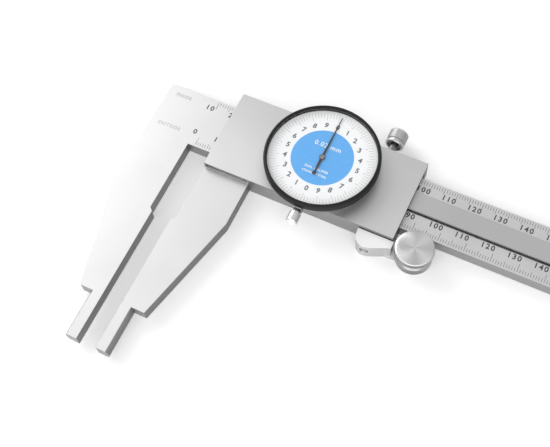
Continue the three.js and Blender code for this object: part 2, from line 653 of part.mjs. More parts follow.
add(slider, 'thumb_rest', thumbRest(), polishedSteel());
add(slider, 'thumb_rest_screw', restScrew(), darkSteel(), REST_SCREW.x, 0, REST_SCREW.z);
const dowel = barY(
  REST_DOWEL.radius, LOWER - REST_DOWEL.inRest, LOWER + REST_DOWEL.inSlider, SHANK_SIDES,
);
add(slider, 'thumb_rest_dowel', dowel, darkSteel(), REST_DOWEL.x, 0, REST_DOWEL.z);
const rollerPin = barZ(PIN.radius, REST.bottom + PIN.sunk, PIN.top, HEAD_SIDES);
add(slider, 'roller_pin', rollerPin, darkSteel(), ROLLER.x, ROLLER.y);
add(slider, 'thumb_roller', roller(), polishedSteel(), ROLLER.x, ROLLER.y);

export default caliper;
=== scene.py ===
# %% [markdown]
# # A dial caliper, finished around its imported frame
#
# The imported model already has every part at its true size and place, and knows how each one moves. This
# lesson gives it its looks: the ground and satin steel, the printed scales, the dial and its black rim, the
# knurled screws and the turned roller. Each step models one piece as you would by hand, with Blender's own
# operators, and then lets it ride on the body that it belongs to.

# %% Load the frame
import math
from contextlib import contextmanager

import bmesh
import bpy
from mathutils import Matrix, Vector


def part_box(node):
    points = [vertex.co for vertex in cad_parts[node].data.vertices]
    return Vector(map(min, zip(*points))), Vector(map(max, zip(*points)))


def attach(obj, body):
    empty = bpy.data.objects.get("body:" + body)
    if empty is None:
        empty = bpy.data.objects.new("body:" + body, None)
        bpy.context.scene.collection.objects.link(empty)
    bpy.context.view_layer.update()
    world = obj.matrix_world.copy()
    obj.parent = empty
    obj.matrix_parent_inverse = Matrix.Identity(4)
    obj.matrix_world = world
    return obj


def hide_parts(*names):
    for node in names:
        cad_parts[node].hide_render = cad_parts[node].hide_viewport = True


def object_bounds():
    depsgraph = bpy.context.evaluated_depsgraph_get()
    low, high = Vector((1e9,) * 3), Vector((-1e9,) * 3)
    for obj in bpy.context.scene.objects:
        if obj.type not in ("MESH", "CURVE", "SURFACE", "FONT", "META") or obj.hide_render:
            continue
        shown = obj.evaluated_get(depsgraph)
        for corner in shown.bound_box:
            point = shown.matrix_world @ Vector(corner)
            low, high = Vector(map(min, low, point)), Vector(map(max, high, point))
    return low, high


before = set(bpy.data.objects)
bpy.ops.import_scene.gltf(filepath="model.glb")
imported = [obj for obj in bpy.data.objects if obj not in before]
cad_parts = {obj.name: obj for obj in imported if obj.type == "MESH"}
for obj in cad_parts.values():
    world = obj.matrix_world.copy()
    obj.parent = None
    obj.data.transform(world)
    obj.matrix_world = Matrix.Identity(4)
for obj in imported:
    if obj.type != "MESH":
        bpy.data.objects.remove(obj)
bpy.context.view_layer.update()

# %% [markdown]
# ## Millimetres along the beam
#
# A caliper is easiest to think of in millimetres from three of its own surfaces: X from the fixed jaw's
# measuring face, Y from the beam's lower edge and Z from its face. One small function turns such a place
# into the frame's metres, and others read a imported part's box back in the same millimetres. The jaws stand 8
# mm apart.

# %% Places on the caliper
MM = 0.001
BEAM_WIDTH = 22.4
READING = 8.0
BEAM_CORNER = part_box("beam")[1] / MM
SHIFT = Vector((0, BEAM_CORNER.y - BEAM_WIDTH, BEAM_CORNER.z))


def at(x, y, z):
    """The point of the frame, in metres, that lies at these millimetres along, across and above the beam."""
    return (Vector((x, y, z)) + SHIFT) * MM


def place(node):
    """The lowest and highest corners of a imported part, in the caliper's millimetres."""
    return tuple(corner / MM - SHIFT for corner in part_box(node))


def middle_of(node, axis):
    """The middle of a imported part, with 0 along the axis that it was turned about."""
    low, high = place(node)
    return tuple(0 if name == axis else (low[i] + high[i]) / 2 for i, name in enumerate("XYZ"))


def radius_of(node):
    low, high = place(node)
    return (high.x - low.x) / 2


beam_low, beam_high = place("beam")
slider_low, slider_high = place("slider_frame")
rack_low, rack_high = place("rack")
bezel_low, bezel_high = place("bezel")
roller_hub = middle_of("thumb_roller", "Z")
DIAL = (bezel_low + bezel_high) / 2
print("The dial's middle is at", [round(v, 2) for v in DIAL])

# %% [markdown]
# ## The camera
#
# The camera looks down on the caliper from its right and from the side that the jaws point to. It is set by
# the two angles of that look, a small roll, its distance, and the point in the middle of the picture.

# %% Camera
CAMERA = {"azimuth": 32.09, "elevation": 63.46, "roll": -7.02, "distance": 359.5, "lens": 63.64}
TARGET = at(44.49, -17.24, 0)


def add_camera():
    azimuth, elevation = math.radians(CAMERA["azimuth"]), math.radians(CAMERA["elevation"])
    turn = Matrix.Rotation(azimuth, 4, "Z") @ Matrix.Rotation(math.pi / 2 - elevation, 4, "X")
    turn = turn @ Matrix.Rotation(math.radians(CAMERA["roll"]), 4, "Z")
    data = bpy.data.cameras.new("camera")
    data.lens = CAMERA["lens"]
    data.clip_start = 0.01
    camera = bpy.data.objects.new("camera", data)
    back = Matrix.Translation((0, 0, CAMERA["distance"] * MM))
    camera.matrix_world = Matrix.Translation(TARGET) @ turn @ back
    bpy.context.scene.collection.objects.link(camera)
    bpy.context.scene.camera = camera
    return camera


print("Camera at", [round(v, 3) for v in add_camera().matrix_world.translation])

# %% [markdown]
# ## Shader maths that reads like maths
#
# A finish is a handful of patterns mixed together. Wired by hand it is a wall of Math nodes, so a small
# class stands for one socket and adds a Math node for each sign in an expression. A finish then reads as the
# sum that it is. Anything that isn't plain maths, such as a noise texture or a colour mix, goes through one
# method.


# %% Sockets as values
class Value:
    """One output socket of a finish. Sums on it add Math nodes."""

    def __init__(self, finish, socket):
        self.finish, self.socket = finish, socket

    def maths(self, operation, *terms):
        return self.finish.node("ShaderNodeMath", {"operation": operation}, terms)

    def __add__(self, other):
        return self.maths("ADD", self, other)

    def __sub__(self, other):
        return self.maths("SUBTRACT", self, other)

    def __rsub__(self, other):
        return self.maths("SUBTRACT", other, self)

    def __mul__(self, other):
        return self.maths("MULTIPLY", self, other)

    def __pow__(self, other):
        return self.maths("POWER", self, other)

    def __abs__(self):
        return self.maths("ABSOLUTE", self)

    __radd__, __rmul__ = __add__, __mul__


class Finish:
    """A material with one Principled shader, and the nodes that feed it."""

    def __init__(self, name, **fixed):
        self.material = bpy.data.materials.new(name)
        self.material.use_nodes = True
        self.tree = self.material.node_tree
        self.shader = self.tree.nodes["Principled BSDF"]
        for socket, value in fixed.items():
            self.shader.inputs[socket.replace("_", " ")].default_value = value
        self.place = self.node("ShaderNodeTexCoord", output="Object")
        self.facing = self.node("ShaderNodeTexCoord", output="Normal")

    def flatness(self, power):
        """1 where the surface faces up or down, falling to 0 on its sides."""
        return abs(self.along(self.facing, "Z")) ** power

    def node(self, kind, settings=None, feeds=(), output=0):
        """Adds a node, sets what it is told, feeds its sockets, and gives one output."""
        made = self.tree.nodes.new(kind)
        for key, value in (settings or {}).items():
            setattr(made, key, value)
        pairs = feeds.items() if isinstance(feeds, dict) else enumerate(feeds)
        for key, value in pairs:
            self.feed(made.inputs[key], value)
        return Value(self, made.outputs[output])

    def feed(self, socket, value):
        if isinstance(value, Value):
            self.tree.links.new(value.socket, socket)
        else:
            socket.default_value = value

    def surface(self, **feeds):
        """Feeds the shader's own sockets, with _ for the spaces in their names."""
        for socket, value in feeds.items():
            self.feed(self.shader.inputs[socket.replace("_", " ")], value)
        return self.material

    def noise(self, scale, stretch=(1, 1, 1), detail=3.0):
        """Noise with `scale` blots to the millimetre, drawn out along an axis where stretch is small."""
        where = self.node("ShaderNodeMapping", {"vector_type": "POINT"},
                          {"Vector": self.place, "Scale": [scale / MM * part for part in stretch]})
        return self.node("ShaderNodeTexNoise", {}, {"Vector": where, "Scale": 1.0, "Detail": detail})

    def blend(self, share, first, second):
        """A colour that goes from the first to the second as the share rises from 0 to 1."""
        mix = self.tree.nodes.new("ShaderNodeMix")
        mix.data_type = "RGBA"
        self.feed(mix.inputs["Factor"], share)
        self.feed(mix.inputs["A"], first)
        self.feed(mix.inputs["B"], second)
        return Value(self, mix.outputs["Result"])

    def bump(self, height, depth):
        """A normal that follows the height, which stands `depth` millimetres at its most."""
        return self.node("ShaderNodeBump", {}, {"Height": height, "Distance": depth * MM, "Strength": 1.0})

    def shaded(self, tone, shade):
        """A colour made darker by another."""
        return self.node("ShaderNodeVectorMath", {"operation": "MULTIPLY"}, [tone, shade])

    def along(self, vector, axis):
        """One component of a vector."""
        return self.node("ShaderNodeSeparateXYZ", {}, [vector], output=axis)


def grey(level, alpha=1.0):
    return (level, level, level, alpha)


print("Finishes can be made")

# %% [markdown]
# ## Steel, one recipe for many finishes
#
# The beam is ground along its length, so its grain is long thin lines. The slider is satin: an even, very
# fine tooth with no direction. The screws, the rack, the dial's case and the thumb rest each have their own
# two greys. All of them share one recipe: two close greys mixed by noise, a roughness that wanders a little,
# and a trace of bump. Shade is painted into the colour as well: the narrow sides are painted darker than the
# faces, and the walls that face along the beam darker still, so two masks from the surface's own direction
# tell these apart.


# %% Steel finishes
CLOUDS = 0.05
GRAIN_ALONG_BEAM = (0.06, 1.0, 1.0)
EVEN_GRAIN = (1.0, 1.0, 1.0)


def steel(name, light, dark, side, rough, grain, stretch, depth, metallic=1.0, end_painted_shade=0.62):
    """Steel with a grain and painted shade: a side keeps the share `side` of a face's colour, an end less."""
    finish = Finish(name, Metallic=metallic)
    lines = finish.noise(grain, stretch)
    clouds = finish.noise(CLOUDS, detail=2.0)
    tone = finish.blend(lines * 0.55 + clouds * 0.45, grey(dark), grey(light))
    # Painted shade: walls keep the share `side` of the face's colour, and walls facing along the beam less.
    end = abs(finish.along(finish.facing, "X"))
    shade = finish.blend(finish.flatness(4.0), finish.blend(end, grey(side), grey(side * end_painted_shade)), grey(1.0))
    wander = lines * 0.08 + clouds * 0.1
    return finish.surface(Base_Color=finish.shaded(tone, shade), Roughness=wander + rough,
                          Normal=finish.bump(lines, depth))


# The third number of each steel is the share of a face's colour that its sides keep: painted shade.
ground_steel = steel("ground steel", 0.86, 0.74, 0.43, 0.34, 6.0, GRAIN_ALONG_BEAM, 0.0012)
satin_steel = steel("satin steel", 0.82, 0.74, 0.43, 0.38, 9.0, EVEN_GRAIN, 0.0012)
dark_steel = steel("dark steel", 0.34, 0.26, 0.9, 0.32, 5.0, EVEN_GRAIN, 0.001)
knurled_steel = steel("knurled steel", 0.98, 0.9, 1.0, 0.24, 7.0, EVEN_GRAIN, 0.0008)
knob_steel = steel("knob steel", 0.74, 0.64, 1.0, 0.3, 7.0, EVEN_GRAIN, 0.0008)
# Painted shade: a near black steel for the screw down in the thumb rest's counterbore.
near_black_recess_shade = steel("black oxide", 0.1, 0.06, 1.0, 0.4, 6.0, EVEN_GRAIN, 0.0008)
# Painted shade: the case's steel is dark, as the shade under the rim, and darkest on the sides facing along
# the beam.
case_steel_with_painted_shade = steel("case steel", 0.46, 0.38, 1.0, 0.3, 7.0, EVEN_GRAIN, 0.0008, end_painted_shade=0.12)
satin_chrome = steel("satin chrome", 0.97, 0.92, 0.58, 0.3, 5.0, EVEN_GRAIN, 0.0006, metallic=0.2)
print("Steels:", ", ".join(material.name for material in bpy.data.materials))

# %% [markdown]
# ## The turned cap and the brass
#
# The roller's cap was faced on a lathe. Its tool marks are rings too fine to see one by one, and what the
# eye sees instead is light drawn out across them into bright and dark fans. The shader's anisotropy stretches
# the reflections, and the fans themselves are painted reflection: a colour that rises and falls four times
# round the cap, so they stay from any angle. The roller's side gets painted shade. Brass gets the same
# recipe as steel with its own two colours.


# %% Turned steel and brass
PAINTED_FANS = {"count": 4.0, "turn": 3.4}


def turned_steel(hub):
    finish = Finish("turned steel", Metallic=1.0, Anisotropic=0.9)
    clouds = finish.noise(0.12, detail=2.0)
    across, up = finish.along(finish.place, "X") - hub.x, finish.along(finish.place, "Y") - hub.y
    # Painted reflection: bright and dark fans in the colour, rising and falling four times round the hub.
    painted_fans = finish.node("ShaderNodeMath", {"operation": "ARCTAN2"}, [up, across]) * PAINTED_FANS["count"]
    painted_fans = finish.node("ShaderNodeMath", {"operation": "SINE"}, [painted_fans + PAINTED_FANS["turn"]]) * 0.5 + 0.5
    tone = finish.blend(painted_fans * 0.8 + clouds * 0.2, grey(0.7), grey(0.95))
    # Painted shade: the roller's sides are darker than its faces.
    shade = finish.blend(finish.flatness(2.0), grey(0.28), grey(1.0))
    return finish.surface(Base_Color=finish.shaded(tone, shade), Roughness=clouds * 0.06 + 0.2)


def machined_brass():
    finish = Finish("machined brass", Metallic=1.0)
    grain = finish.noise(5.0)
    colour = finish.blend(grain, (0.52, 0.34, 0.10, 1), (0.72, 0.52, 0.2, 1))
    return finish.surface(Base_Color=colour, Roughness=grain * 0.12 + 0.25, Normal=finish.bump(grain, 0.001))


turned = turned_steel(at(*roller_hub))
brass = machined_brass()
print("Turned steel and brass:", turned.name, brass.name)

# %% [markdown]
# ## Plastics, paint and print
#
# The rim is black plastic, the needle black paint, the dial white enamel with grey print and a light blue
# middle, and the scales are etched dark. None of them is one flat colour close up: each has a faint mottle
# and its own gloss. The crystal is clear, and only shows where it turns away from you and mirrors the light,
# so its alpha grows as the glass turns edge on.


# %% Plain finishes
def painted(name, first, second, rough, blots, gloss=0.5, depth=0.0006):
    finish = Finish(name, Specular_IOR_Level=gloss)
    mottle = finish.noise(blots)
    colour = finish.blend(mottle, (*first, 1), (*second, 1))
    return finish.surface(
        Base_Color=colour, Roughness=mottle * 0.08 + rough, Normal=finish.bump(mottle, depth))


def clear_plastic():
    finish = Finish("clear plastic", Roughness=0.04, Base_Color=(1, 1, 1, 1))
    edge = finish.node("ShaderNodeLayerWeight", {}, {"Blend": 0.5}, output=1) ** 3.0
    scuffs = finish.noise(1.2)
    return finish.surface(Alpha=edge * 0.4 + scuffs * 0.04, Roughness=scuffs * 0.03 + 0.03)


black_plastic = painted("black plastic", (0.006, 0.006, 0.007), (0.012, 0.012, 0.013), 0.42, 2.0, 0.25)
needle_black = painted("needle black", (0.01, 0.01, 0.014), (0.03, 0.03, 0.035), 0.32, 3.0)
dial_white = painted("dial white", (0.89, 0.895, 0.9), (0.95, 0.955, 0.96), 0.4, 0.6)
dial_blue = painted("dial blue", (0.085, 0.39, 0.83), (0.11, 0.43, 0.87), 0.35, 0.5)
print_grey = painted("print grey", (0.10, 0.10, 0.11), (0.16, 0.16, 0.17), 0.5, 4.0)
print_pale = painted("pale print", (0.45, 0.46, 0.47), (0.54, 0.55, 0.56), 0.5, 4.0)
etched = painted("etched figures", (0.045, 0.045, 0.05), (0.08, 0.08, 0.085), 0.55, 6.0)
etched_line = painted("etched lines", (0.09, 0.09, 0.095), (0.14, 0.14, 0.145), 0.55, 6.0)
print_white = painted("white print", (0.85, 0.87, 0.9), (0.92, 0.94, 0.96), 0.45, 3.0)
clear = clear_plastic()
print("Plain finishes:", len(bpy.data.materials), "materials so far")

# %% [markdown]
# ## Working by hand, in code
#
# These helpers are the handful of moves that every piece below is made with: open a piece in edit mode, pick
# faces by where they are, trace an outline from one vertex, push it into a solid or spin it into a turned
# part, cut one piece with another, and break the sharp edges.

# %% Edit mode and selection
TINY = 1e-6
FLAT_ANGLE = math.radians(24)
EDGE_ANGLE = math.radians(34)


def choose(*pieces):
    """Selects these pieces and nothing else, with the first one active."""
    bpy.ops.object.select_all(action="DESELECT")
    for piece in pieces:
        piece.select_set(True)
    bpy.context.view_layer.objects.active = pieces[0]


@contextmanager
def edit(piece):
    """Opens one piece in edit mode, alone and selected all over, and closes it."""
    choose(piece)
    bpy.ops.object.mode_set(mode="EDIT")
    bpy.ops.mesh.select_mode(type="VERT")
    bpy.ops.mesh.select_all(action="SELECT")
    yield
    bpy.ops.object.mode_set(mode="OBJECT")


def pick(piece, test):
    """Selects the faces whose middle, in the caliper's millimetres, and normal pass the test."""
    bpy.ops.mesh.select_mode(type="FACE")
    bpy.ops.mesh.select_all(action="DESELECT")
    shape = bmesh.from_edit_mesh(piece.data)
    for face in shape.faces:
        if test(face.calc_center_median() / MM - SHIFT, face.normal):
            face.select_set(True)
    bmesh.update_edit_mesh(piece.data)


def close_up():
    """Merges what lies on the same spot and turns every face outwards."""
    bpy.ops.mesh.select_all(action="SELECT")
    bpy.ops.mesh.remove_doubles(threshold=TINY)
    bpy.ops.mesh.normals_make_consistent(inside=False)


def named(name):
    """Names what was just added and puts its place in its mesh."""
    piece = bpy.context.object
    piece.name = piece.data.name = name
    bpy.ops.object.transform_apply(location=True, rotation=True, scale=True)
    return piece


bpy.ops.object.select_all(action="DESELECT")
print("Edit helpers ready")


# %% Outlines, solids and turned parts
def trace(name, points):
    """A line of edges, drawn by extruding one vertex from point to point."""
    bpy.ops.mesh.primitive_plane_add(size=MM, location=points[0])
    line = named(name)
    with edit(line):
        bpy.ops.mesh.merge(type="CENTER")
        for start, end in zip(points, points[1:]):
            bpy.ops.mesh.extrude_vertices_move(TRANSFORM_OT_translate={"value": end - start})
    return line


def extruded(name, points, path):
    """A solid: the outline through the points, filled and pushed along the path in millimetres."""
    piece = trace(name, points)
    with edit(piece):
        bpy.ops.mesh.edge_face_add()
        bpy.ops.mesh.extrude_region_move(TRANSFORM_OT_translate={"value": Vector(path) * MM})
        close_up()
    return piece


def plate(name, outline, low, high):
    """A plate with its outline in X and Y, between two heights."""
    return extruded(name, [at(x, y, low) for x, y in outline], (0, 0, high - low))


def block(name, low, high):
    """A block between two opposite corners."""
    corners = [(low[0], low[1]), (high[0], low[1]), (high[0], high[1]), (low[0], high[1])]
    return plate(name, corners, low[2], high[2])


TURNED_ABOUT = {"X": (Vector((0, 0, 1)), Vector((1, 0, 0))),
                "Y": (Vector((1, 0, 0)), Vector((0, 1, 0))),
                "Z": (Vector((1, 0, 0)), Vector((0, 0, 1)))}


def lathe(name, profile, middle, axis="Z", steps=64):
    """A turned part: a profile of (radius, height) in millimetres, spun about an axis through the middle."""
    out, along = TURNED_ABOUT[axis]
    hub = at(*middle)
    piece = trace(name, [hub + (out * radius + along * height) * MM for radius, height in profile])
    with edit(piece):
        bpy.ops.mesh.spin(steps=steps, angle=math.tau, center=hub, axis=along)
        close_up()
    return piece


print("Shape helpers ready")


# %% Cuts, edges and copies
def apply_last(piece):
    bpy.context.view_layer.objects.active = piece
    bpy.ops.object.modifier_apply(modifier=piece.modifiers[-1].name)


def combine(piece, tool, operation="DIFFERENCE"):
    """Cuts the tool out of the piece, or joins it on, and throws the tool away."""
    change = piece.modifiers.new("combine", "BOOLEAN")
    change.operation, change.object, change.solver = operation, tool, "EXACT"
    apply_last(piece)
    bpy.data.objects.remove(tool)
    return piece


def smooth(piece):
    """Shades what is round as round, and leaves sharp edges sharp."""
    choose(piece)
    bpy.ops.object.shade_smooth_by_angle(angle=FLAT_ANGLE)
    return piece


def soften(piece, width, segments=1):
    """Breaks the sharp edges with a narrow bevel."""
    edges = piece.modifiers.new("edges", "BEVEL")
    edges.width, edges.segments = width * MM, segments
    edges.limit_method, edges.angle_limit = "ANGLE", EDGE_ANGLE
    apply_last(piece)
    return smooth(piece)


def repeat(piece, step, count):
    """Copies a piece along the beam, `step` millimetres from one to the next."""
    row = piece.modifiers.new("row", "ARRAY")
    row.use_relative_offset, row.use_constant_offset = False, True
    row.constant_offset_displace, row.count = (step * MM, 0, 0), count
    apply_last(piece)
    return piece


def copy_to(piece, name, step):
    """A copy with its own mesh, moved by a step in millimetres."""
    twin = piece.copy()
    twin.data = piece.data.copy()
    twin.name = twin.data.name = name
    bpy.context.scene.collection.objects.link(twin)
    with edit(twin):
        bpy.ops.transform.translate(value=Vector(step) * MM)
    return twin


def join_all(pieces, name):
    choose(*pieces)
    bpy.ops.object.join()
    pieces[0].name = pieces[0].data.name = name
    return pieces[0]


def finish(piece, body, slot, material, *nodes):
    """Gives a piece its material and the body it moves with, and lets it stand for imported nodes."""
    piece.data.materials.clear()
    piece.data.materials.append(material)
    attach(piece, body)
    if nodes:
        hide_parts(*nodes)
    print(f"{piece.name}: {len(piece.data.polygons)} faces, rides on {body}")
    return piece


print("Finishing helpers ready")

# %% [markdown]
# ## The jaws' outline
#
# Both jaws have the same outline, mirrored: a measuring face with a relief above it, a straight part under
# the beam, a taper, and a nib at the end for inside measurements. The nib is flat on the measuring side and
# round on its back, so it is a section of its own, pushed down the jaw and joined on.

# %% Jaw outline and nib
JAW = {"width": 20, "length": 87, "taper": 25, "step": 68.5, "narrow": 9.35, "relief": 1.35,
       "relief_end": 31.5}
NIB = {"width": 5, "round": 4, "steps": 16}
THICK = beam_high.z - beam_low.z


def jaw_outline(face, side, root):
    """One jaw from its root down and back up. Its measuring face is at x = face, its body on one side."""
    def out(distance):
        return face + side * distance
    return [(out(JAW["relief"]), root), (out(JAW["relief"]), -JAW["relief_end"] + JAW["relief"]),
            (out(0), -JAW["relief_end"]), (out(0), -JAW["step"]), (out(JAW["narrow"]), -JAW["step"]),
            (out(JAW["width"]), -JAW["taper"]), (out(JAW["width"]), root)]


def nib(face, side):
    """The nib, from 1 mm inside the jaw to the tip."""
    half = THICK / 2
    sweep = math.asin(half / NIB["round"])
    centre = NIB["width"] - NIB["round"]
    turns = [sweep * (2 * step / NIB["steps"] - 1) for step in range(NIB["steps"] + 1)]
    back = [(centre + NIB["round"] * math.cos(turn), NIB["round"] * math.sin(turn)) for turn in turns]
    section = [(0, -half), *back, (0, half)]
    start = -JAW["step"] + 1
    points = [at(face + side * x, start, z - half) for x, z in section]
    return extruded("nib", points, (0, -JAW["length"] - start, 0))


print("The jaws reach", JAW["length"], "mm below the beam")

# %% [markdown]
# ## The beam
#
# The beam, its head and the fixed jaw are one piece of hardened steel. Its outline is traced once and pushed
# to its thickness; the nib is joined on, the rack's groove is milled out of the face, and every edge is
# broken.

# %% Beam
GROOVE = {"beside": 0.5, "gap": 0.3}
BEAM_EDGE = 0.28


def make_beam():
    jaw = jaw_outline(0, -1, BEAM_WIDTH)
    outline = [(beam_high.x, 0), (beam_high.x, BEAM_WIDTH), (-JAW["width"], BEAM_WIDTH),
               *reversed(jaw[1:-1]), (-JAW["relief"], 0)]
    body = combine(plate("beam_bar", outline, -THICK, 0), nib(0, -1), "UNION")
    gap = GROOVE["gap"]
    combine(body, block("groove", (rack_low.x - gap, rack_low.y - GROOVE["beside"], rack_low.z - gap),
                        (rack_high.x + gap, rack_high.y + gap, 1)))
    soften(body, BEAM_EDGE)
    return finish(body, "beam", "ground_steel", ground_steel, "beam")


make_beam()

# %% [markdown]
# ## The rack
#
# The rack is a thin strip in a groove of the beam, with teeth on its lower side only. The pinion turns once
# for 10 mm and has 16 teeth, so a tooth comes every 0.625 mm. One tooth is traced and an Array makes the
# rest.

# %% Rack
TOOTH = {"pitch": 0.625, "depth": 0.4}


def make_rack():
    pitch, root = TOOTH["pitch"], rack_low.y + TOOTH["depth"]
    strip = block("rack_strip", (rack_low.x, root, rack_low.z), (rack_high.x, rack_high.y, rack_high.z))
    soften(strip, 0.12)
    first = [(0, root + 0.05), (0.1 * pitch, root), (0.36 * pitch, rack_low.y), (0.64 * pitch, rack_low.y),
             (0.9 * pitch, root), (pitch, root + 0.05)]
    teeth = plate("teeth", [(rack_low.x + x, y) for x, y in first], rack_low.z, rack_high.z)
    repeat(teeth, pitch, int((rack_high.x - rack_low.x) / pitch))
    return finish(join_all([strip, teeth], "rack_strip"), "beam", "satin_steel", rack_steel, "rack")


rack_steel = steel("rack steel", 0.68, 0.61, 0.6, 0.34, 8.0, GRAIN_ALONG_BEAM, 0.0008)
make_rack()

# %% [markdown]
# ## The scales
#
# The lower scale counts from 0 for outside measurements, and the upper one from 10, because the two nibs add
# 10 mm to an inside measurement. Marks stand a hair above the steel so that they stay crisp at any distance.
# Each length of mark is one small block repeated by an Array. A number stands a little to the left of its
# mark, where the slider doesn't cover it as it comes to that mark.

# %% Scale marks
SCALE = {"zero": slider_low.x + JAW["relief"] - READING, "length": 300, "line": 0.16}
PRINT = (0.004, 0.02)
MARK_STEPS = [(1, 0.0, 1.5), (5, 1.5, 2.3), (10, 2.3, 3.4)]
SCALE_ROWS = {"lower": (0.7, 1), "upper": (BEAM_WIDTH - 0.7, -1)}


def scale_marks(row):
    """Marks every 1, 5 and 10 mm, each longer than the last, from the beam's edge inwards."""
    edge, inwards = SCALE_ROWS[row]
    left = SCALE["zero"] - SCALE["line"] / 2
    low, high = PRINT
    groups = []
    for every, start, end in MARK_STEPS:
        near, far = sorted((edge + inwards * start, edge + inwards * end))
        mark = block("marks", (left, near, low), (left + SCALE["line"], far, high))
        groups.append(repeat(mark, every, SCALE["length"] // every + 1))
    return finish(join_all(groups, f"{row}_scale_marks"), "beam", "dark_steel", etched_line)


for scale_row in SCALE_ROWS:
    scale_marks(scale_row)

# %% Scale numbers
NUMBERS = {"lower": (0, -2.7, 5.95), "upper": (10, -2.4, 18.05)}
NUMBER_SIZE, NUMBER_SPACING, NUMBER_WEIGHT = 3.0, 1.28, 0.08
WORD_SIZE = 2.1


def printed(name, text, middle, size, low, high, spacing=1.0, weight=0.0):
    """Flat lettering between two heights, centred on a point, as a mesh. Weight thickens its strokes."""
    bpy.ops.object.text_add(location=at(middle[0], middle[1], (low + high) / 2))
    words = bpy.context.object
    words.data.body, words.data.size = text, size * MM
    words.data.align_x, words.data.align_y = "CENTER", "CENTER"
    words.data.extrude, words.data.resolution_u = (high - low) / 2 * MM, 3
    words.data.space_character, words.data.offset = spacing, weight * MM
    bpy.ops.object.convert(target="MESH")
    piece = named(name)
    with edit(piece):
        close_up()
    return piece


def scale_numbers(row):
    first, beside, height = NUMBERS[row]
    places = range(0, SCALE["length"] + 1, 10)
    words = [printed("number", str(value + first), (SCALE["zero"] + value + beside, height), NUMBER_SIZE,
                     *PRINT, NUMBER_SPACING, NUMBER_WEIGHT) for value in places]
    return finish(join_all(words, f"{row}_scale_numbers"), "beam", "dark_steel", etched)


for scale_row in NUMBERS:
    scale_numbers(scale_row)

# %% [markdown]
# The head says which scale is for what. Two short plain words stand for that, one beside each scale.

# %% Words on the head
scale_words = join_all([
    printed("word", "INSIDE", (-13.0, 18.6), WORD_SIZE, *PRINT, 1.1),
    printed("word", "OUTSIDE", (-12.1, 4.3), WORD_SIZE, *PRINT, 1.2)], "scale_words")
head_print = painted("head print", (0.30, 0.30, 0.31), (0.38, 0.38, 0.39), 0.5, 4.0)
finish(scale_words, "beam", "dark_steel", head_print)

# %% [markdown]
# ## Screws
#
# The small screws have low round heads with a slot. Each is a turned profile with a block cut across its
# top. Each profile runs from the tip of the shank to the middle of the head.


# %% A slotted screw
HEAD_EDGE = 0.22
SCREW_STEPS = 32


def slotted_screw(name, middle, axis, shank, head, slot):
    """shank is (radius, tip), head (radius, underside, top) and slot (width, depth), along the axis."""
    (thin, tip), (wide, under, top), (width, depth) = shank, head, slot
    far = 1 if top > under else -1
    profile = [(0, tip), (thin, tip), (thin, under), (wide, under), (wide, top - far * HEAD_EDGE),
               (wide - HEAD_EDGE, top), (0, top)]
    screw = lathe(name, profile, middle, axis, steps=SCREW_STEPS)
    reach = wide + 1
    spans = {"along": sorted((top - far * depth, top + far)), "across": (-width / 2, width / 2),
             "length": (-reach, reach)}
    order = {"X": ("along", "across", "length"), "Y": ("length", "along", "across"),
             "Z": ("across", "length", "along")}[axis]
    low = [middle[i] + spans[order[i]][0] for i in range(3)]
    high = [middle[i] + spans[order[i]][1] for i in range(3)]
    combine(screw, block("slot", low, high))
    return smooth(screw)


rack_screw_low, rack_screw_high = place("rack_screw_1")
rack_screw = slotted_screw("rack_pin_1", middle_of("rack_screw_1", "Z"), "Z", (1.0, rack_screw_low.z),
                           (1.25, 0.2, rack_screw_high.z), (0.35, 0.4))
for index in (2, 3):
    node = f"rack_screw_{index}"
    twin = copy_to(rack_screw, f"rack_pin_{index}", place(node)[0] - rack_screw_low)
    finish(twin, "beam", "dark_steel", dark_steel, node)
finish(rack_screw, "beam", "dark_steel", dark_steel, "rack_screw_1")

# %% [markdown]
# ## The end stop
#
# A small plate screwed on the beam's far end keeps the slider on.

# %% End stop
stop_low, stop_high = place("end_stop")
stop_screw_low, stop_screw_high = place("end_stop_screw_1")
STOP_SCREW = {"shank": 0.9, "head": 1.7, "height": 1, "slot": (0.5, 0.5)}
STOP_EDGE = 0.5

finish(soften(block("end_stop_plate", stop_low, stop_high), STOP_EDGE, 3), "beam", "satin_steel", satin_steel,
       "end_stop")
first_screw = slotted_screw(
    "stop_screw_1", middle_of("end_stop_screw_1", "X"), "X", (STOP_SCREW["shank"], stop_screw_low.x),
    (STOP_SCREW["head"], stop_screw_high.x - STOP_SCREW["height"], stop_screw_high.x), STOP_SCREW["slot"])
second_screw = copy_to(first_screw, "stop_screw_2", place("end_stop_screw_2")[0] - stop_screw_low)
finish(first_screw, "beam", "dark_steel", dark_steel, "end_stop_screw_1")
finish(second_screw, "beam", "dark_steel", dark_steel, "end_stop_screw_2")

# %% [markdown]
# ## The slider
#
# The slider is a thick plate that wraps the beam on three sides, with the moving jaw under it. It is made
# like the beam, by joining plate, jaw and nib, and then cutting the ways: one for the beam, one for the rack
# and a slot beside the beam for the gib. A shallow undercut marks the plate's edge above the jaw, and the
# bores for the gib screws and the lock screw come last.

# %% Slider
SLIDER = {"left": READING + JAW["relief"], "lower": -6.35, "edge": 0.3, "undercut": (0.3, 2.3)}
LOCK_BORE = 1.8
BORE_STEPS = 32
gib_low, gib_high = place("gib")
CHANNEL = {"roof": 1.4, "low": 4.6, "high": 16.6}


def bore(middle, axis, radius, start, end):
    profile = [(0, start), (radius, start), (radius, end), (0, end)]
    return lathe("bore", profile, middle, axis, steps=BORE_STEPS)


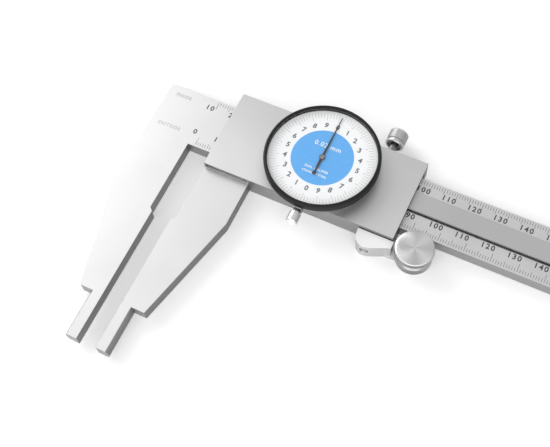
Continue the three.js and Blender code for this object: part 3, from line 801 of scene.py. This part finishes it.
def make_slider():
    left, lower = SLIDER["left"], SLIDER["lower"]
    body = block("slider_body", (left, lower, -THICK), slider_high)
    combine(body, plate("jaw", jaw_outline(READING, 1, lower + 2), -THICK, 0), "UNION")
    combine(body, nib(READING, 1), "UNION")
    far_left, far_right, gap = left - 1, slider_high.x + 1, GROOVE["gap"]
    gib_way, roof = gib_high.y + gap, CHANNEL["roof"]
    combine(body, block("way", (far_left, -gap, -THICK - 1), (far_right, gib_way, gap)))
    combine(body, block("way", (far_left, CHANNEL["low"], 0), (far_right, CHANNEL["high"], roof)))
    combine(body, block("way", (far_left, BEAM_WIDTH + gap, -1), (far_right, gib_way, roof)))
    low, high = SLIDER["undercut"]
    combine(body, block("undercut", (left + 0.6, lower - 1, low), (left + JAW["width"] - 2, lower + 2, high)))
    for name in ("gib_screw_1", "gib_screw_2", "lock_screw"):
        low, high = place(name)
        radius = LOCK_BORE if name == "lock_screw" else (high.z - low.z) / 2 + gap
        combine(body, bore(middle_of(name, "Y"), "Y", radius, BEAM_WIDTH + 1, slider_high.y + 1))
    soften(body, SLIDER["edge"])
    return finish(body, "slider", "satin_steel", satin_steel, "slider_frame")


make_slider()

# %% [markdown]
# ## What holds the slider on the beam
#
# A brass gib takes up the play beside the beam, pushed by two slotted grub screws, and two back plates close
# the slider underneath, each held by two screws.

# %% Gib, its screws and the back plates
finish(soften(block("gib_strip", gib_low, gib_high), 0.15), "slider", "brass", brass, "gib")
for index in (1, 2):
    node = f"gib_screw_{index}"
    low, high = place(node)
    grub = slotted_screw(f"gib_grub_{index}", middle_of(node, "Y"), "Y", (0.9, low.y),
                         (1.1, low.y + 0.4, high.y), (0.4, 0.7))
    finish(grub, "slider", "dark_steel", dark_steel, node)

BACK_SCREW = {"shank": 0.8, "head": 1.5, "height": 0.7, "slot": (0.45, 0.4), "clear": 1.8}


def make_back_plate(index):
    low, high = place(f"back_plate_{index}")
    cover = block(f"back_cover_{index}", low, high)
    for number in (2 * index - 1, 2 * index):
        node = f"back_plate_screw_{number}"
        (start, end), middle = place(node), middle_of(node, "Z")
        combine(cover, bore(middle, "Z", BACK_SCREW["clear"], low.z - 1, high.z + 1))
        head = (BACK_SCREW["head"], start.z + BACK_SCREW["height"], start.z)
        screw = slotted_screw(f"back_screw_{number}", middle, "Z", (BACK_SCREW["shank"], end.z), head,
                              BACK_SCREW["slot"])
        finish(screw, "slider", "dark_steel", dark_steel, node)
    finish(soften(cover, 0.25, 2), "slider", "satin_steel", satin_steel, f"back_plate_{index}")


for index in (1, 2):
    make_back_plate(index)

# %% [markdown]
# ## Knurling
#
# A knurled rim is a ring of fine ribs. A turned part with many steps already has the narrow faces for it, so
# every second one is pushed in a little with shrink and fatten. This works for the black rim and for both
# screw heads.


# %% Knurl
ON_THE_RIM = 0.15
UPRIGHT = 0.1


def knurl(piece, middle, axis, radius, span, depth, steps):
    """Pushes in every second face of the cylinder of that radius, between two heights along the axis."""
    index = "XYZ".index(axis)
    first, second = (i for i in range(3) if i != index)
    centre = Vector(middle)

    def rib(point, normal):
        away = point - centre
        out = math.hypot(away[first], away[second])
        turn = math.atan2(away[second], away[first]) / math.tau * steps
        on_rim = abs(out - radius) < ON_THE_RIM and abs(normal[index]) < UPRIGHT
        return span[0] < away[index] < span[1] and on_rim and math.floor(turn + steps) % 2 == 0
    with edit(piece):
        pick(piece, rib)
        bpy.ops.mesh.extrude_faces_move(TRANSFORM_OT_shrink_fatten={"value": -depth * MM})
        close_up()
    return piece


print("Knurling ready")

# %% [markdown]
# ## The dial's case and rim
#
# A silver cup holds the gears. The black rim turns on it and carries the crystal and the printed face, so it
# is its own piece. Both are turned profiles; the rim has a rounded lip and a knurled side.

# %% Case
case_low, case_high = place("dial_case")
HUB = (DIAL.x, DIAL.y, 0)
CASE = {"radius": radius_of("dial_case"), "hole": 0.9, "wall": 1.0, "floor": 0.8, "edges": (0.3, 0.15)}
RING_STEPS = 128


def make_case():
    low, top, radius, hole = case_low.z, case_high.z, CASE["radius"], CASE["hole"]
    inside, floor, (under, lip) = radius - CASE["wall"], low + CASE["floor"], CASE["edges"]
    profile = [(hole, low), (radius - under, low), (radius, low + under), (radius, top - lip),
               (radius - lip, top), (inside, top), (inside, floor), (hole, floor), (hole, low)]
    cup = smooth(lathe("case_cup", profile, HUB, steps=RING_STEPS))
    # The case's colour holds painted shade: dark under the rim, darkest on the sides facing along the beam.
    return finish(cup, "slider", "satin_steel", case_steel_with_painted_shade, "dial_case")


make_case()

# %% Rim
RIM = {"seat": 21.0, "ledge": 19.9, "lip": 20.65, "shelf": 9.9, "step": (7.1, 7.5)}
RIBS = {"count": 360, "depth": 0.13}


def make_rim():
    low, top, radius = bezel_low.z, bezel_high.z, radius_of("bezel")
    seat, ledge, lip, shelf, step = RIM.values()
    profile = [(seat, low), (radius - 0.35, low), (radius - 0.1, low + 0.25), (radius, low + 0.5),
               (radius, top - 1.0), (radius - 0.12, top - 0.55), (radius - 0.45, top - 0.15),
               (radius - 0.85, top), (lip + 0.15, top - 0.1), (lip, top - 0.3), (lip, shelf), (seat, shelf),
               (seat, step[1]), (ledge, step[1]), (ledge, step[0]), (seat, step[0]), (seat, low)]
    rim = lathe("bezel_rim", profile, HUB, steps=RIBS["count"])
    knurl(rim, HUB, "Z", radius, (low + 0.6, top - 1.1), RIBS["depth"], RIBS["count"])
    return finish(smooth(rim), "bezel", "black_bezel", black_plastic, "bezel")


make_rim()

# %% [markdown]
# ## The face and its print
#
# The white plate is turned. One mark is a small block at the top, and Spin copies it round: 100 marks of
# 0.02 mm, with a longer one at every fifth, and numbers 0 to 9 twice round the ring, because one turn of the
# needle is 2 mm.

# %% Face
face_low, face_high = place("dial_face")
PRINT_LOW, PRINT_HIGH = (face_high.z + height for height in PRINT)
ARBOR_HOLE = 1.1
FACE_EDGE = 0.06
MARKS = 100


def make_face():
    low, high, radius = face_low.z, face_high.z, radius_of("dial_face")
    profile = [(ARBOR_HOLE, low), (radius, low), (radius, high - FACE_EDGE), (radius - FACE_EDGE, high),
               (ARBOR_HOLE, high), (ARBOR_HOLE, low)]
    face = smooth(lathe("dial_plate", profile, HUB, steps=RING_STEPS))
    return finish(face, "bezel", "dial_white", dial_white, "dial_face")


def ring_of_marks(name, count, inner, outer, width):
    """One mark at the top of the dial, copied round by Spin."""
    ring = block(name, (DIAL.x - width / 2, DIAL.y + inner, PRINT_LOW),
                 (DIAL.x + width / 2, DIAL.y + outer, PRINT_HIGH))
    with edit(ring):
        bpy.ops.mesh.spin(steps=count - 1, angle=math.tau * (count - 1) / count, center=at(*HUB),
                          axis=(0, 0, 1), dupli=True)
    return ring


make_face()
finish(ring_of_marks("fine_dial_marks", MARKS, 17.3, 19.5, 0.14), "bezel", "dial_white", print_pale)
finish(ring_of_marks("long_dial_marks", MARKS // 5, 16.4, 17.3, 0.2), "bezel", "dial_white", print_pale)

# %% Dial numbers and blue middle
NUMERALS = {"count": 20, "ring": 14.1, "size": 2.85, "weight": 0.09}
BLUE_RADIUS = 11.8
WORDS_WEIGHT = 0.03
DIAL_WORDS = [("0.02 mm", 5.2, 2.7, 1.15), ("DIAL CALIPER", -5.4, 1.35, 1.15),
              ("STAINLESS STEEL", -7.4, 1.2, 1.1)]


def make_numerals():
    digits = []
    for index in range(NUMERALS["count"]):
        turn = math.tau * index / NUMERALS["count"]
        middle = (DIAL.x + NUMERALS["ring"] * math.sin(turn), DIAL.y + NUMERALS["ring"] * math.cos(turn))
        digits.append(printed("digit", str(index % 10), middle, NUMERALS["size"], PRINT_LOW, PRINT_HIGH,
                              weight=NUMERALS["weight"]))
    return finish(join_all(digits, "dial_numbers"), "bezel", "dial_white", print_grey)


def make_blue_middle():
    profile = [(ARBOR_HOLE, PRINT_LOW), (BLUE_RADIUS, PRINT_LOW), (BLUE_RADIUS, PRINT_HIGH),
               (ARBOR_HOLE, PRINT_HIGH), (ARBOR_HOLE, PRINT_LOW)]
    disc = smooth(lathe("dial_middle", profile, HUB, steps=RING_STEPS))
    finish(disc, "bezel", "dial_white", dial_blue)
    above = (PRINT_HIGH + PRINT[0], PRINT_HIGH + PRINT[1])
    lines = [printed("line", text, (DIAL.x, DIAL.y + up), size, *above, spacing, WORDS_WEIGHT)
             for text, up, size, spacing in DIAL_WORDS]
    return finish(join_all(lines, "dial_words"), "bezel", "dial_white", print_white)


make_numerals()
make_blue_middle()

# %% [markdown]
# ## Needle and crystal
#
# The needle is a thin blade that narrows to its tip, with a round weight on its tail to balance it, pressed
# on the arbor under a small turned cap. The crystal is a shallow lens.

# %% Needle
needle_low, needle_high = place("needle")
NEEDLE = {"tip": needle_high.y - DIAL.y, "tail": DIAL.y - needle_low.y, "root": 0.42, "point": 0.14,
          "blob": 0.8, "hub": 1.15, "neck": 0.34}
NEEDLE_CAP = {"radius": 0.95, "crown": 0.75, "edge": 0.15, "sunk": 0.05, "top": 8.9}


def arc(middle, radius, start, end, steps):
    """Points of an arc in X and Y, angles in degrees from +X."""
    turns = [math.radians(start + (end - start) * step / steps) for step in range(steps + 1)]
    return [(middle[0] + radius * math.cos(turn), middle[1] + radius * math.sin(turn)) for turn in turns]


def make_needle():
    root, point, blob, neck = NEEDLE["root"], NEEDLE["point"], NEEDLE["blob"], NEEDLE["neck"]
    tail = -NEEDLE["tail"] + blob
    side = [(point, NEEDLE["tip"] - 0.3), (root, 1.0), *arc((0, 0), NEEDLE["hub"], 60, -60, 10),
            (neck, tail + blob)]
    outline = [(0, NEEDLE["tip"]), *side, *arc((0, tail), blob, 70, -250, 16), (-neck, tail + blob),
               *[(-x, y) for x, y in reversed(side[:-1])]]
    blade = plate("needle_blade", [(DIAL.x + x, DIAL.y + y) for x, y in outline], needle_low.z, needle_high.z)
    return finish(soften(blade, 0.05), "needle", "needle_black", needle_black, "needle")


def make_cap():
    radius, crown, edge, sunk, top = NEEDLE_CAP.values()
    low = needle_high.z - sunk
    profile = [(0, low), (radius, low), (radius, top - edge), (crown, top), (0, top)]
    cap = smooth(lathe("needle_cap", profile, HUB, steps=SCREW_STEPS))
    return finish(cap, "needle", "dark_steel", dark_steel)


make_needle()
make_cap()

# %% Crystal
crystal_low, crystal_high = place("crystal")
CROWN_RISE, CROWN_STEPS = 0.25, 10


def make_crystal():
    """A clear lens, flat below, that rises a quarter of a millimetre from its rim to its middle."""
    radius = radius_of("crystal")
    shares = [step / CROWN_STEPS for step in range(CROWN_STEPS + 1)]
    top = [(radius * (1 - share), crystal_high.z + CROWN_RISE * (1 - (1 - share) ** 2)) for share in shares]
    profile = [(0, crystal_low.z), (radius, crystal_low.z), *top]
    lens = smooth(lathe("crystal_lens", profile, HUB, steps=RING_STEPS))
    return finish(lens, "bezel", "crystal_clear", clear, "crystal")


make_crystal()

# %% [markdown]
# ## Lock screw and rim clamp
#
# The lock screw presses the gib on the beam and the small screw under the dial clamps the rim. Both have
# heads turned with a neck and a groove, knurled for the fingers. Each is made in two pieces, the knurled
# head and the plain part behind it, so that the plain part can be dark steel: painted shade under the head.

# %% Lock screw
lock_low, lock_high = place("lock_screw")
LOCK_HUB = middle_of("lock_screw", "Y")
LOCK = {"shank": 1.5, "rim": 3.6, "groove": 3.0, "head": 3.7, "length": 6.5, "hollow": 1.7, "ribs": 72}
SEAM = 0.02


def make_lock_screw():
    tip, end = lock_low.y, lock_high.y
    start = end - LOCK["length"]
    hollow = start + LOCK["hollow"]
    profile = [(0, hollow), (2.6, hollow), (2.85, start + 0.1), (3.05, start), (3.35, start + 0.1),
               (LOCK["rim"], start + 0.4), (LOCK["rim"], start + 1.1), (LOCK["groove"], start + 1.35),
               (LOCK["groove"], start + 1.9), (LOCK["head"], start + 2.15), (LOCK["head"], end - 0.7),
               (LOCK["head"] - 0.4, end - 0.2), (LOCK["head"] - 0.7, end), (0, end)]
    screw = lathe("lock_knob", profile, LOCK_HUB, "Y", steps=LOCK["ribs"])
    knurl(screw, LOCK_HUB, "Y", LOCK["head"], (start + 2.2, end - 0.75), 0.2, LOCK["ribs"])
    radius = LOCK["shank"]
    rod = [(0, tip), (radius - 0.3, tip), (radius, tip + 0.3), (radius, hollow - SEAM), (0, hollow - SEAM)]
    shank = lathe("lock_shank", rod, LOCK_HUB, "Y", steps=SCREW_STEPS)
    # Painted shade: the shank is dark steel, for the shade under the knob.
    finish(smooth(shank), "lock_screw", "dark_steel", dark_steel)
    return finish(smooth(screw), "lock_screw", "polished_steel", knob_steel, "lock_screw")


make_lock_screw()

# %% Rim clamp
clamp_low, clamp_high = place("clamp_screw")
shoe_low, shoe_high = place("clamp_shoe")
CLAMP_HUB = middle_of("clamp_screw", "Y")
CLAMP = {"shank": 1.0, "collar": 1.5, "head": 2.2, "length": 4.6, "step": 5.4}
CLAMP_RIBS = 48


def make_clamp():
    end, tip = clamp_low.y, clamp_high.y
    shank, collar, head, length, step = CLAMP.values()
    profile = [(0, tip), (shank, tip), (shank, end + step), (collar, end + step), (collar, end + length),
               (0, end + length)]
    neck = lathe("clamp_neck", profile, CLAMP_HUB, "Y", steps=SCREW_STEPS)
    # Painted shade: the neck is dark steel, for the shade between the knob and the rim.
    finish(smooth(neck), "clamp_screw", "dark_steel", dark_steel)
    seam = end + length - SEAM
    profile = [(0, seam), (head - 0.3, seam), (head, end + 4.3), (head, end + 0.5), (head - 0.35, end + 0.1),
               (1.4, end), (0, end)]
    screw = lathe("clamp_knob", profile, CLAMP_HUB, "Y", steps=CLAMP_RIBS)
    knurl(screw, CLAMP_HUB, "Y", head, (end + 0.55, end + 4.15), 0.1, CLAMP_RIBS)
    finish(smooth(screw), "clamp_screw", "polished_steel", knurled_steel, "clamp_screw")
    shoe = block("clamp_block", shoe_low, shoe_high)
    combine(shoe, bore(CLAMP_HUB, "Y", shank + GROOVE["gap"], shoe_low.y - 1, shoe_high.y + 1))
    return finish(soften(shoe, 0.2, 2), "slider", "dark_steel", satin_steel, "clamp_shoe")


make_clamp()

# %% [markdown]
# ## Thumb rest and roller
#
# The thumb rest is a bright satin shoe under the slider, hollowed for the thumb, with a flat arm below that
# holds the roller's pin. Its outline is drawn with two curves. The roller is turned: a low cone on top,
# faced on the lathe, a bright chamfer, and a groove in the middle that runs along the beam's edge.

# %% Thumb rest
rest_low, rest_high = place("thumb_rest")
REST = {"left": rest_low.x, "right": 87.4, "near": SLIDER["lower"] - GROOVE["gap"], "arm_top": -5.2,
        "arm_half": 3.2, "arm_round": 6.0, "roller_room": 7.15, "pin_hole": 1.5}
REST_BORES = [("thumb_rest_screw", 1.7, rest_low.y - 1, -8.55),
              ("thumb_rest_screw", 1.1, rest_low.y - 1, REST["near"]),
              ("thumb_rest_dowel", 1.1, -8.45, REST["near"])]


def curve(points, steps):
    """A Bezier curve through two ends, pulled by the one or two points between."""
    def spot(points, share):
        while len(points) > 1:
            points = [a.lerp(b, share) for a, b in zip(points, points[1:])]
        return points[0]
    handles = [Vector(point) for point in points]
    return [tuple(spot(handles, step / steps)) for step in range(1, steps + 1)]


def make_thumb_rest():
    near = REST["near"]
    outline = [(REST["left"], near), (REST["left"] + 0.3, -9.0)]
    outline += curve([outline[-1], (REST["left"] + 1.0, -12.6), (77.4, rest_low.y)], 8)
    outline += curve([outline[-1], (81.0, rest_low.y + 0.2), (83.5, -10.6), (REST["right"], -9.6)], 10)
    outline += [(REST["right"], near)]
    shoe = plate("thumb_shoe", outline, rest_low.z, rest_high.z)
    low, top, room, above = rest_low.z, REST["arm_top"], REST["roller_room"], rest_high.z + 1
    arm_low = (80, roller_hub[1] - REST["arm_half"], low)
    combine(shoe, block("arm", arm_low, (roller_hub[0], near, top)), "UNION")
    combine(shoe, lathe("end", [(0, low), (REST["arm_round"], low), (REST["arm_round"], top), (0, top)],
                        roller_hub), "UNION")
    combine(shoe, lathe("room", [(0, top), (room, top), (room, above), (0, above)], roller_hub))
    combine(shoe, bore(roller_hub, "Z", REST["pin_hole"], low - 1, top + 1))
    for node, radius, start, end in REST_BORES:
        combine(shoe, bore(middle_of(node, "Y"), "Y", radius, start, end))
    return finish(soften(shoe, 0.25, 2), "slider", "polished_steel", satin_chrome, "thumb_rest")


def make_rest_screw():
    low, high = place("thumb_rest_screw")
    screw = slotted_screw("rest_screw", middle_of("thumb_rest_screw", "Y"), "Y", (0.8, high.y),
                          (1.4, low.y + 0.9, low.y), (0.45, 0.45))
    # Painted shade: the screw is near black, for the shade down in its counterbore.
    return finish(screw, "slider", "dark_steel", near_black_recess_shade, "thumb_rest_screw")


def make_dowel():
    low, high = place("thumb_rest_dowel")
    profile = [(0, low.y), (0.6, low.y), (0.8, low.y + 0.2), (0.8, high.y - 0.2), (0.6, high.y), (0, high.y)]
    dowel = lathe("rest_dowel", profile, middle_of("thumb_rest_dowel", "Y"), "Y", steps=SCREW_STEPS)
    return finish(smooth(dowel), "slider", "dark_steel", dark_steel, "thumb_rest_dowel")


make_thumb_rest()
make_rest_screw()
make_dowel()

# %% Roller
roller_low, roller_high = place("thumb_roller")
ROLLER = {"bore": 1.25, "deep": 3.1, "radius": 6.85, "groove": 0.9, "steps": 96}


def make_roller():
    low, top, radius = roller_low.z, roller_high.z, ROLLER["radius"]
    inner, cap = radius - ROLLER["groove"], radius_of("thumb_roller")
    hole, deep = ROLLER["bore"], ROLLER["deep"]
    profile = [(hole, low), (radius - 0.5, low), (radius, low + 0.5), (radius, -1.1), (inner, -0.1),
               (inner, 0.5), (cap, 1.75), (cap, top - 0.85), (cap - 0.12, top - 0.6), (cap - 0.75, top - 0.3),
               (0, top), (0, deep), (hole, deep), (hole, low)]
    wheel = lathe("roller_wheel", profile, roller_hub, steps=ROLLER["steps"])
    return finish(smooth(wheel), "roller", "polished_steel", turned, "thumb_roller")


def make_pin():
    low, high = place("roller_pin")
    profile = [(0, low.z), (0.95, low.z), (1.2, low.z + 0.25), (1.2, high.z - 0.2), (1.0, high.z),
               (0, high.z)]
    pin = smooth(lathe("roller_axle", profile, roller_hub, steps=SCREW_STEPS))
    return finish(pin, "slider", "dark_steel", dark_steel, "roller_pin")


make_roller()
make_pin()

# %% [markdown]
# ## Inside the dial
#
# The gears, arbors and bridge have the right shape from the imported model, so they stay as they are and only
# get their metal.

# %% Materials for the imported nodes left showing
BRASS_NODES = ("bridge_pillar", "drive_wheel", "backlash_wheel", "lock_pad")
shown = [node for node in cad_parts.values() if not node.hide_render]
for node in shown:
    of_brass = node.name == "bridge" or node.name.startswith(BRASS_NODES)
    slot_name, metal = ("brass", brass) if of_brass else ("dark_steel", dark_steel)
    node.data.materials.clear()
    node.data.materials.append(metal)
print(len(shown), "packed nodes keep their own shape:", sorted(node.name for node in shown))

# %% [markdown]
# ## Floor and light
#
# Metal looks like what stands around it, so the light matters as much as the finish. A pale floor, an even
# pale surround and one large soft light from the upper left give the faces their slow fade from bright on
# the left to grey on the right. A weaker, wider light fills in from the lower right, and the floor gives a
# little light of its own, which keeps it near white.

# %% Floor and light
FLOOR_SIZE, FLOOR_BELOW = 4.0, 0.0001
SURROUND = 0.62
LIGHTS = {"main_light": ((-0.85, 0.25, 0.5), 0.8, 5.8), "fill_light": ((0.25, -0.85, 0.7), 1.6, 9.0)}


def add_floor():
    bpy.ops.mesh.primitive_plane_add(size=FLOOR_SIZE, location=(0, 0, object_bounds()[0].z - FLOOR_BELOW))
    floor = named("floor")
    surface = Finish("pale floor", Roughness=0.9, Emission_Color=(1, 1, 1, 1), Emission_Strength=0.18)
    colour = surface.blend(surface.noise(0.002), grey(0.86), grey(0.9))
    floor.data.materials.append(surface.surface(Base_Color=colour))


def add_light(name, offset, size, power):
    """A square soft light, `offset` metres from the camera's target, facing it."""
    data = bpy.data.lights.new(name, "AREA")
    data.size, data.energy = size, power
    light = bpy.data.objects.new(name, data)
    place_of = TARGET + Vector(offset)
    facing = (TARGET - place_of).to_track_quat("-Z", "Y").to_matrix().to_4x4()
    light.matrix_world = Matrix.Translation(place_of) @ facing
    bpy.context.scene.collection.objects.link(light)


def add_surround(level):
    world = bpy.data.worlds.new("surround")
    world.use_nodes = True
    background = world.node_tree.nodes["Background"]
    background.inputs["Color"].default_value = (1, 1, 1, 1)
    background.inputs["Strength"].default_value = level
    bpy.context.scene.world = world


add_floor()
add_surround(SURROUND)
for light_name, settings in LIGHTS.items():
    add_light(light_name, *settings)
bpy.context.scene.view_settings.view_transform = "Standard"
print("Lights:", [light.name for light in bpy.data.lights])
